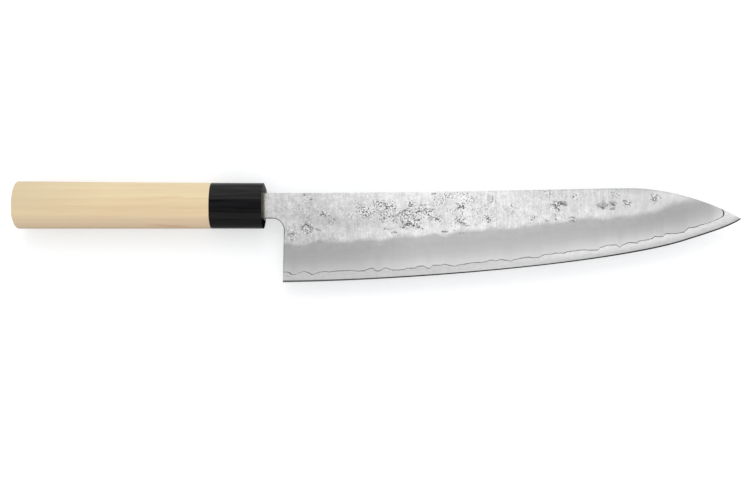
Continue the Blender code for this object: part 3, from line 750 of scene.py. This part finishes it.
def ferrule_rings():
    """Rings of the ferrule from its joint to the top of its dome."""
    rings = [
        handle_ring(-FERRULE_LENGTH, inset=JOINT_ROUNDING),
        handle_ring(-FERRULE_LENGTH, at=JOINT_STEP - FERRULE_LENGTH, inset=JOINT_ROUNDING * 0.4),
    ]
    rings += map(handle_ring, np.linspace(-FERRULE_LENGTH + 0.3, -0.25, 24))
    rings.append(handle_ring(0.0, 0.998, -0.08))
    return rings + dome_rings()


def make_ferrule():
    """Horn ferrule with its domed front, bore and slot."""
    horn = loft("horn_ferrule", ferrule_rings())
    carve(horn, rod("bore", BORE_RADIUS, -FERRULE_LENGTH - 2, TANG_START_X))
    slot = (SLOT_HALF_Y, SLOT_HALF_Z)
    carve(horn, wedge("slot", (TANG_START_X - 2, *slot), (6, *slot)))
    return horn


def make_resin():
    """Collar of resin in the slot round the neck."""
    collar = loft("neck_resin", ferrule_rings())
    slot = (SLOT_HALF_Y, SLOT_HALF_Z)
    neck = (NECK_HALF, NECK_Z)
    carve(collar, wedge("slot_space", (TANG_START_X, *slot), (6, *slot)), "INTERSECT")
    carve(collar, wedge("neck_space", (TANG_START_X - 2, *neck), (8, *neck)))
    return collar


def finish(piece, node, material):
    """Give a piece its material, and let it ride on the body and stand for its node."""
    piece.data.materials.clear()
    piece.data.materials.append(material)
    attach(piece, "root")
    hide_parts(node)


class Value:
    """A number or colour in a shader tree, on which plain arithmetic adds math nodes."""

    def __init__(self, socket):
        self.socket = socket
        self.tree = socket.id_data

    def math(self, operation, *others):
        inputs = dict(enumerate((self, *others)))
        return add_node(self.tree, "Math", inputs, operation=operation)

    def __add__(self, other):
        return self.math("ADD", other)

    def __sub__(self, other):
        return self.math("SUBTRACT", other)

    def __mul__(self, other):
        return self.math("MULTIPLY", other)

    def __truediv__(self, other):
        return self.math("DIVIDE", other)

    def __rsub__(self, other):
        return self * -1 + other

    __radd__ = __add__
    __rmul__ = __mul__

    def range(self, low, high, to_low=0, to_high=1, soft=False):
        """Map from one range to another, held at the ends."""
        inputs = {0: self, 1: low, 2: high, 3: to_low, 4: to_high}
        kind = "SMOOTHSTEP" if soft else "LINEAR"
        return add_node(self.tree, "MapRange", inputs, interpolation_type=kind)

    def ramp(self, *stops):
        """Colour ramp with stops of (place, colour or grey)."""
        made = add_node(self.tree, "ValToRGB", {0: self})
        elements = made.socket.node.color_ramp.elements
        while len(elements) < len(stops):
            elements.new(0.5)
        for element, (stop, colour) in zip(elements, stops):
            element.position = stop
            element.color = (*colour, 1) if isinstance(colour, tuple) else (colour, colour, colour, 1)
        return made

    def vary(self, swing, amount):
        """Multiply by 1 give or take half an amount, following a noise about 0.5."""
        return self * ((swing - 0.5) * amount + 1)

    def blend(self, share, other):
        """Mix with another number."""
        return add_node(self.tree, "Mix", {0: share, 2: self, 3: other}, data_type="FLOAT")

    def tint(self, share, colour):
        """Mix with another colour, linked or fixed."""
        other = (*colour, 1) if isinstance(colour, tuple) else colour
        return add_node(self.tree, "Mix", {0: share, 6: self, 7: other}, 2, data_type="RGBA")

    def grey(self):
        """Neutral colour of this brightness."""
        return add_node(self.tree, "CombineColor", {0: self, 1: self, 2: self})


def fill(socket, value):
    """Link a value to a socket, or set it to a constant."""
    if isinstance(value, Value):
        value.tree.links.new(value.socket, socket)
    else:
        socket.default_value = value


def add_node(tree, kind, inputs=None, output=0, **settings):
    """Add a shader node with its options and inputs, and give one of its outputs."""
    made = tree.nodes.new("ShaderNode" + kind)
    for key, value in settings.items():
        setattr(made, key, value)
    for key, value in (inputs or {}).items():
        fill(made.inputs[key], value)
    return Value(made.outputs[output]) if made.outputs else None


class Finish:
    """A principled material with patterns that follow the knife's millimetres."""

    def __init__(self, name, colour, metallic=0.0, roughness=0.5):
        self.material = bpy.data.materials.new(name)
        self.material.use_nodes = True
        self.material.diffuse_color = (*colour, 1)
        self.tree = self.material.node_tree
        self.set("Base Color", (*colour, 1))
        self.set("Metallic", metallic)
        self.set("Roughness", roughness)

    def set(self, name, value):
        """Set or link an input of the shader."""
        fill(self.tree.nodes["Principled BSDF"].inputs[name], value)

    def __getitem__(self, name):
        """Value of a vertex attribute."""
        return add_node(self.tree, "Attribute", output="Fac", attribute_name=name)

    def place(self, long=1, tall=1):
        """Knife place in millimetres, shrunk by long along X and by tall along Y."""
        stretch = (long, tall, 1)
        source = add_node(self.tree, "TexCoord", output="Object")
        scale = tuple(1 / MM / value for value in stretch)
        shift = tuple(float(-middle / MM / value) for middle, value in zip(ORIGIN, stretch))
        return add_node(self.tree, "Mapping", {0: source, 1: shift, 3: scale})

    def axis(self, index):
        """Knife place along one axis."""
        return add_node(self.tree, "SeparateXYZ", {0: self.place()}, index)

    def noise(self, size, detail, roughness, offset, long=1, tall=1):
        """Noise about 0.5 with features of a size, drawn out along X or Y."""
        inputs = {"Vector": self.place(long, tall), "Scale": 1 / size, "Detail": detail,
                  "Roughness": roughness, "W": offset}
        return add_node(self.tree, "TexNoise", inputs, "Fac", noise_dimensions="4D")

    def bump(self, height, strength, distance):
        """Bump the surface by a height given in millimetres."""
        inputs = {"Height": height, "Strength": strength, "Distance": distance * MM}
        self.set("Normal", add_node(self.tree, "Bump", inputs))


def skin_brightness(steel, along):
    """Reflectance of the skin: mottled and streaked, with painted light that makes it lighter in the middle
    of the blade, and painted shade along the spine near the tip.
    """
    below_spine = steel["below_spine"]
    # Painted light: lighter in the middle of the blade, darker at the heel.
    value = along.ramp((0.007, 0.78), (0.03, 0.635), (0.1, 0.64), (0.19, 0.71), (0.32, 0.83), (0.44, 0.865),
                       (0.54, 0.815), (0.66, 0.77), (0.74, 0.75), (0.82, 0.74), (0.87, 0.8), (0.91, 0.73))
    value = value.vary(steel.noise(4.2, 4, 0.62, 0).range(0.36, 0.64), along * -0.2 + 0.28)
    calm = along.range(0.68, 0.8, 1, 0.4)
    value = value.vary(steel.noise(1.6, 3, 0.6, 1), calm * 0.48)
    value = value.vary(steel.noise(0.65, 1, 0.5, 2), calm * 0.55)
    streaked = along.ramp((0.28, 0.25), (0.44, 0.55), (0.7, 0.6), (0.8, 0.2))
    value = value.vary(steel.noise(0.9, 2, 0.6, 3, tall=9), streaked)
    lined = below_spine.range(5.5, 2.5, 0, 0.22) * along.range(0.36, 0.2)
    value = value.vary(steel.noise(0.6, 2, 0.5, 20, long=18), lined)
    upper = below_spine.range(4, 12, 0.085, -0.012) * along.range(0.3, 0.62, 1, 0.1)
    belt = below_spine.range(10, 14) * below_spine.range(19.5, 16.5)
    belt *= along.ramp((0.07, 0), (0.11, 1), (0.22, 1), (0.27, 0))
    # Painted shade along the spine near the tip.
    wide_shade = below_spine.range(0.5, 3.4, 0.17, 0)
    wide_shade *= along.ramp((0.69, 0), (0.74, 0.6), (0.8, 1), (0.817, 0))
    thin_shade = below_spine.range(0.25, 1, 0.14, 0) * along.range(0.4, 0.55)
    return value * (upper + 1) * (belt * -0.12 + 1) * (1 - wide_shade) * (1 - thin_shade)


def road_brightness(steel, along):
    """Reflectance of the hazy bevel, with painted shade darkest under the polish line and painted light
    towards the lamination line and the middle of the blade.
    """
    road = steel["road"]
    before_end = steel["before_end"]
    # Hazy finish with painted shade and light: darker under the polish line, lighter towards the lamination
    # line.
    value = road.ramp((0, 0.472), (0.3, 0.457), (0.6, 0.49), (1, 0.62))
    # Painted light along the blade: darker at the heel, lighter in the middle.
    value *= along.ramp((0, 0.89), (0.2, 0.98), (0.32, 1.18), (0.54, 1.17), (0.7, 1.11), (0.86, 0.96),
                        (0.97, 1.08))
    value = value.vary(steel.noise(0.9, 3, 0.6, 26, long=16), 0.1)
    value = value.vary(steel.noise(2.2, 3, 0.6, 28, long=1.5), road.range(0.5, 0, 0, 0.42))
    value *= before_end.range(1, 8, 1.22, 1, True)
    halo = steel["above_line"].range(9, 0.4, 0, 0.19)
    halo *= along.ramp((0.6, 0.2), (0.7, 0.75), (0.79, 1), (0.88, 0.4)) * before_end.range(2, 12)
    value *= halo + 1
    return value.vary(steel.noise(1.4, 3, 0.6, 4, tall=9), 0.07)


def cladding_material():
    """Rough forged skin above, soft haze below, pits and bowls darkened with painted shade, painted glints
    on raised specks, a painted dark rim and a dark lamination line.
    """
    steel = Finish("cladding_steel", (0.66, 0.67, 0.68), 1.0, 0.42)
    along = steel.axis(0) * (1 / TIP_X)
    before_end = steel["before_end"]
    polish = steel["above_polish"] + (steel.noise(3.5, 3, 0.6, 5) * 2.8 - 1.4)
    polish /= along.range(0.72, 0.86, 1, 1.9)
    skin_share = polish.range(-1.1, 1.5, soft=True)
    # Painted highlight: a lighter band just above the polish line.
    painted_shoulder_highlight = polish.range(0.8, 2.2) * polish.range(6.5, 3) * along.range(0.1, 0.24) * along.range(0.8, 0.68)
    forged = skin_brightness(steel, along) + painted_shoulder_highlight * 0.055
    value = road_brightness(steel, along).blend(skin_share, forged)
    value *= steel["flake"].range(0, 1, 1, 0.86)
    # Painted shade in the smooth bowls.
    value *= steel["bowl"].range(0, 1, 1, 0.62)
    # Painted highlight: glints whitened onto the raised specks.
    value = value.blend(steel["crumb_glint"] * 0.9, 1)
    # Painted shade in the pits and scars.
    value = value.blend(steel["pit"] * 0.95, 0.06)
    line = (steel["above_line"] / before_end.range(1, 6, 1.8, 1)).range(0.28, 0.5, 1, 0)
    strong = steel.noise(3, 2, 0.6, 6).range(0.35, 0.6, 0.55, 0.98) * along.range(0.05, 0.25, 0.78, 1)
    value = value.blend(line * strong.math("MAXIMUM", before_end.range(2, 9, 1, 0)), 0.04)
    # Painted shade along the choil and the neck's lower rim.
    value = value.blend(steel["rim"] * 0.9, 0.08)
    steel.set("Base Color", value.grey())
    steel.set("Roughness", skin_share * 0.08 + 0.34)
    brushed = steel.noise(0.35, 3, 0.6, 8, tall=12) * 0.4
    steel.bump(brushed.blend(skin_share, steel.noise(0.35, 3, 0.6, 7)), 0.6, 0.02)
    return steel.material


def core_material():
    """Bright core steel, with a painted dark reflection along its fine edge."""
    steel = Finish("core_steel", (0.7, 0.71, 0.72), 1.0, 0.3)
    along = steel.axis(0) * (1 / TIP_X)
    above_edge = steel["above_edge"]
    value = along.ramp((0.04, 0.585), (0.3, 0.65), (0.58, 0.73), (0.66, 0.77), (0.96, 0.735))
    value *= 1 - above_edge.range(0.9, 4.2, 0.22, -0.1) * along.range(0.5, 0.64)
    value = value.vary(steel.noise(2.4, 4, 0.6, 9), 0.2)
    value = value.vary(steel.noise(0.6, 2, 0.5, 10, tall=6), 0.14)
    value = value.vary(steel.noise(0.5, 3, 0.6, 19, long=7), along.range(0.9, 0.97, 0.42, 0.8))
    # Painted dark reflection along the fine edge.
    width = along.ramp((0.04, 0.86), (0.3, 0.77), (0.6, 0.67), (0.8, 0.86)) + along.range(0.04, 0.2, 0.28, 0)
    edge = (above_edge / width).range(0.75, 1.05, 1, 0) * along.ramp((0.05, 0.78), (0.3, 0.98))
    steel.set("Base Color", value.blend(edge, 0.02).grey())
    steel.bump(steel.noise(0.4, 2, 0.5, 0, tall=6), 0.4, 0.01)
    return steel.material


def wood_rings(wood):
    """Place in a growth ring, from 0 to 1, round a pith far beside the handle."""
    across = wood.axis(1) - PITH_Y
    deep = wood.axis(2) - PITH_Z
    radius = (across * across + deep * deep).math("SQRT") + wood.noise(9, 2, 0.5, 11, long=60) * 3.2
    return (radius * (1 / RING_WIDTH)).math("FRACT")


def wood_stain(wood):
    """Share of the reddish stain slanting along the lower side near the ferrule."""
    place_x = wood.axis(0)
    line = place_x * STAIN_SLOPE + (STAIN_Y - STAIN_SLOPE * STAIN_X)
    ragged = wood.noise(0.7, 2, 0.5, 22, long=12) * 1.2 - 0.6
    away = (wood.axis(1) - line + ragged).math("ABSOLUTE")
    distance = (place_x - STAIN_X).math("ABSOLUTE")
    return away.range(0.9, 0.1, soft=True) * distance.range(STAIN_HALF, 3, soft=True)


def end_grain(wood):
    """Colour of the butt's end grain: arcs of the rings and pores."""
    late = wood_rings(wood).ramp((0, 0.15), (0.6, 0.3), (0.9, 1), (1, 0.15))
    base = wood.noise(5, 3, 0.6, 25).ramp((0.35, (0.66, 0.5, 0.31)), (0.65, (0.73, 0.57, 0.36)))
    base = base.tint(late * 0.55, (0.5, 0.34, 0.19))
    return base.tint(wood.noise(0.3, 2, 0.6, 24).range(0.55, 0.75, 0, 0.55), (0.44, 0.3, 0.17))


def wood_material():
    """Pale magnolia wood: faint growth rings, long fine grain and short pores, with painted light on its
    upper side and painted shade on its lower side and towards the butt's top.
    """
    wood = Finish("magnolia_wood", (0.76, 0.6, 0.38), 0.0, 0.55)
    place_x = wood.axis(0)
    level = wood.axis(1)
    ring = wood_rings(wood).ramp((0, 0.1), (0.55, 0.35), (0.88, 0.85), (1, 0.1))
    fine = wood.noise(0.8, 4, 0.65, 12, long=45)
    band = wood.noise(3.2, 3, 0.6, 13, long=26)
    hue = wood.noise(4.5, 2, 0.5, 21, long=9)
    pore = wood.noise(0.26, 2, 0.5, 14, long=11)
    streak = wood.noise(1.5, 2, 0.5, 15, long=24)
    base = band.ramp((0.3, (0.69, 0.53, 0.33)), (0.5, (0.745, 0.595, 0.373)), (0.7, (0.785, 0.645, 0.412)))
    # Painted shade: duller upper side towards the butt.
    painted_butt_shade = place_x.range(-80, -124, 0, 0.6) * level.range(-8, 2)
    for share, colour in (
            (hue.range(0.52, 0.72, 0, 0.6), (0.76, 0.645, 0.39)),
            (hue.range(0.46, 0.3, 0, 0.6), (0.77, 0.575, 0.36)),
            # Painted highlight: yellower upper side.
            (level.range(1, 5, 0, 0.4), (0.752, 0.655, 0.425)),
            (ring * 0.34, (0.66, 0.485, 0.3)),
            (fine.range(0.4, 0.75, 0, 0.4), (0.66, 0.49, 0.3)),
            (streak.range(0.58, 0.76, 0, 0.5), (0.62, 0.42, 0.26)),
            # Painted shade: darker, redder lower facet, a darker underside and a shadowed bottom rim.
            (level.range(-5.6, -7.4, 0, 0.6), (0.715, 0.545, 0.38)),
            (level.range(-8.6, -10.6, 0, 0.45), (0.6, 0.445, 0.29)),
            (level.range(-10.9, -12.1, 0, 0.7), (0.4, 0.31, 0.19)),
            (wood_stain(wood) * 0.6, (0.58, 0.33, 0.2)),
            (painted_butt_shade, (0.61, 0.495, 0.32)),
            (place_x.range(0.3 - HANDLE_LENGTH, 0.08 - HANDLE_LENGTH), end_grain(wood)),
            (pore.range(0.68, 0.8, 0, 0.5), (0.52, 0.36, 0.21))):
        base = base.tint(share, colour)
    wood.set("Base Color", base)
    wood.bump(fine - pore.range(0.66, 0.8) * 0.8, 0.35, 0.05)
    wood.set("Roughness", fine * 0.2 + 0.44)
    wood.set("Specular IOR Level", 0.35)
    return wood.material


def horn_material():
    """Black horn with faint long streaks, duller at its front, with painted light and shade by height and a
    painted reflection of the neck on its front.
    """
    horn = Finish("black_horn", (0.008, 0.008, 0.009), 0.0, 0.25)
    level = horn.axis(1)
    streak = horn.noise(1.3, 4, 0.6, 16, long=14)
    hair = horn.noise(0.35, 2, 0.6, 17, long=30)
    front = horn.axis(0).range(-0.35, -0.1)
    under = level.range(-6.8, -8.6)
    beneath = front * level.range(-6.5, -7.3)
    ragged = (level + (streak * 1.2 - 0.6)).math("ABSOLUTE")
    # Painted reflection of the neck in the front face.
    neck_reflection = front * ragged.range(6.9, 6.4) * horn.noise(0.8, 2, 0.5, 23, tall=6).range(0.32, 0.62, 0.35, 0.9)
    base = streak.ramp((0.35, (0.0012, 0.0013, 0.002)), (0.75, (0.004, 0.004, 0.005)))
    for share, colour in (
            (hair.range(0.62, 0.8, 0, 0.5), (0.018, 0.017, 0.016)),
            # Painted reflection of the neck in the front face.
            (neck_reflection * horn.axis(2).range(9.6, 6, 0.6, 1), (0.155, 0.145, 0.095)),
            # Painted highlight: a lighter band along the ridge.
            (level.range(-3.2, -4.6) * level.range(-7.6, -6.4) * 0.45, (0.02, 0.019, 0.02)),
            # Painted light: lighter below the ridge.
            (under * 0.5, (0.02, 0.02, 0.02)),
            # Painted reflection: lighter upper corner of the front.
            (front * level.range(6.7, 7.6) * 0.8, (0.055, 0.055, 0.055)),
            # Painted shade: darker lower front.
            (beneath, (0.003, 0.003, 0.003))):
        base = base.tint(share, colour)
    horn.set("Base Color", base)
    bands = level.range(0, 12).ramp((0.14, 0.1), (0.23, 0.125), (0.31, 0.275), (0.5, 0.315), (0.66, 0.305),
                                    (0.77, 0.17), (0.88, 0.135))
    gloss = bands.blend(under, 0.025) * horn.noise(1.1, 3, 0.6, 27, long=34).range(0.34, 0.66, 0.5, 1.6)
    horn.set("Specular IOR Level", gloss.blend(front, beneath * -0.03 + 0.03))
    horn.set("Roughness", (streak * 0.18 + 0.16).blend(front, 0.4))
    horn.bump(hair, 0.25, 0.012)
    return horn.material


def resin_material():
    """Dull khaki resin."""
    resin = Finish("khaki_resin", (0.17, 0.16, 0.11))
    cloud = resin.noise(0.8, 3, 0.6, 18)
    resin.set("Base Color", cloud.ramp((0.3, (0.12, 0.11, 0.08)), (0.7, (0.24, 0.23, 0.17))))
    resin.bump(cloud, 0.4, 0.08)
    return resin.material


def make_floor():
    """White floor that the handle's left side touches."""
    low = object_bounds()[0][2]
    mesh = bpy.data.meshes.new("floor")
    corners = [(x * FLOOR_HALF, y * FLOOR_HALF, low) for x, y in ((-1, -1), (1, -1), (1, 1), (-1, 1))]
    mesh.from_pydata(corners, [], [(0, 1, 2, 3)])
    floor = add_object("floor", mesh)
    material = bpy.data.materials.new("white_floor")
    material.use_nodes = True
    tree = material.node_tree
    tree.nodes.clear()
    diffuse = add_node(tree, "BsdfDiffuse", {"Color": (*FLOOR_COLOUR, 1)})
    seen = add_node(tree, "LightPath", output="Is Camera Ray")
    for ray in ("Is Glossy Ray", "Is Transmission Ray"):
        seen = seen.math("MAXIMUM", add_node(tree, "LightPath", output=ray))
    lift = add_node(tree, "Emission", {"Color": (1, 1, 1, 1), "Strength": seen * FLOOR_LIFT})
    both = add_node(tree, "AddShader", {0: diffuse, 1: lift})
    add_node(tree, "OutputMaterial", {0: both})
    mesh.materials.append(material)


def make_world():
    """White horizon, and a sky dimmer before the edge than behind the spine."""
    world = bpy.data.worlds.new("studio")
    bpy.context.scene.world = world
    world.use_nodes = True
    tree = world.node_tree
    tree.nodes.clear()
    direction = add_node(tree, "TexCoord", output="Generated")
    across, height = (add_node(tree, "SeparateXYZ", {0: direction}, axis) for axis in (1, 2))
    overhead = across.range(-0.75, 0.75, *OVERHEAD_LIGHT, True)
    strength = (overhead - 1) * height.range(0.16, 0.42, soft=True) + 1
    background = add_node(tree, "Background", {"Color": (1, 1, 1, 1), "Strength": strength})
    add_node(tree, "OutputWorld", {0: background})


def make_softbox():
    """Large soft light behind the spine, which throws the shadow towards the edge.

    It isn't mirrored, so the blade doesn't burn out in a low view."""
    data = bpy.data.lights.new("softbox", "AREA")
    data.shape = "RECTANGLE"
    data.size, data.size_y = SOFTBOX_SIZE
    data.energy = SOFTBOX_RADIANCE * math.pi * math.prod(SOFTBOX_SIZE)
    lamp = add_object("softbox", data)
    lamp.visible_glossy = False
    lamp.location = SOFTBOX_PLACE
    lamp.rotation_euler = (-Vector(SOFTBOX_PLACE)).to_track_quat("-Z", "Y").to_euler()


def make_camera():
    """Camera straight above the photograph's centre."""
    data = bpy.data.cameras.new("camera")
    data.sensor_width = SENSOR_WIDTH
    data.lens = SENSOR_WIDTH * CAMERA_HEIGHT / (VIEW_WIDTH_PX * MM_PER_PX)
    data.clip_start = 0.01
    data.clip_end = 20.0
    camera = add_object("camera", data)
    camera.location = place((*VIEW_CENTRE, CAMERA_HEIGHT))
    bpy.context.scene.camera = camera


def main():
    """Build the stage and every piece."""
    bpy.context.scene.view_settings.view_transform = "Standard"
    make_camera()
    make_floor()
    make_world()
    make_softbox()
    steel = cladding_material()
    finish(make_cladding("blade_cladding_right", 100), "cladding_right", steel)
    finish(make_cladding("blade_cladding_left", 300, True), "cladding_left", steel)
    finish(make_core(), "core_steel", core_material())
    finish(make_handle(), "handle_body", wood_material())
    finish(make_ferrule(), "ferrule", horn_material())
    finish(make_resin(), "mouth_resin", resin_material())


main()
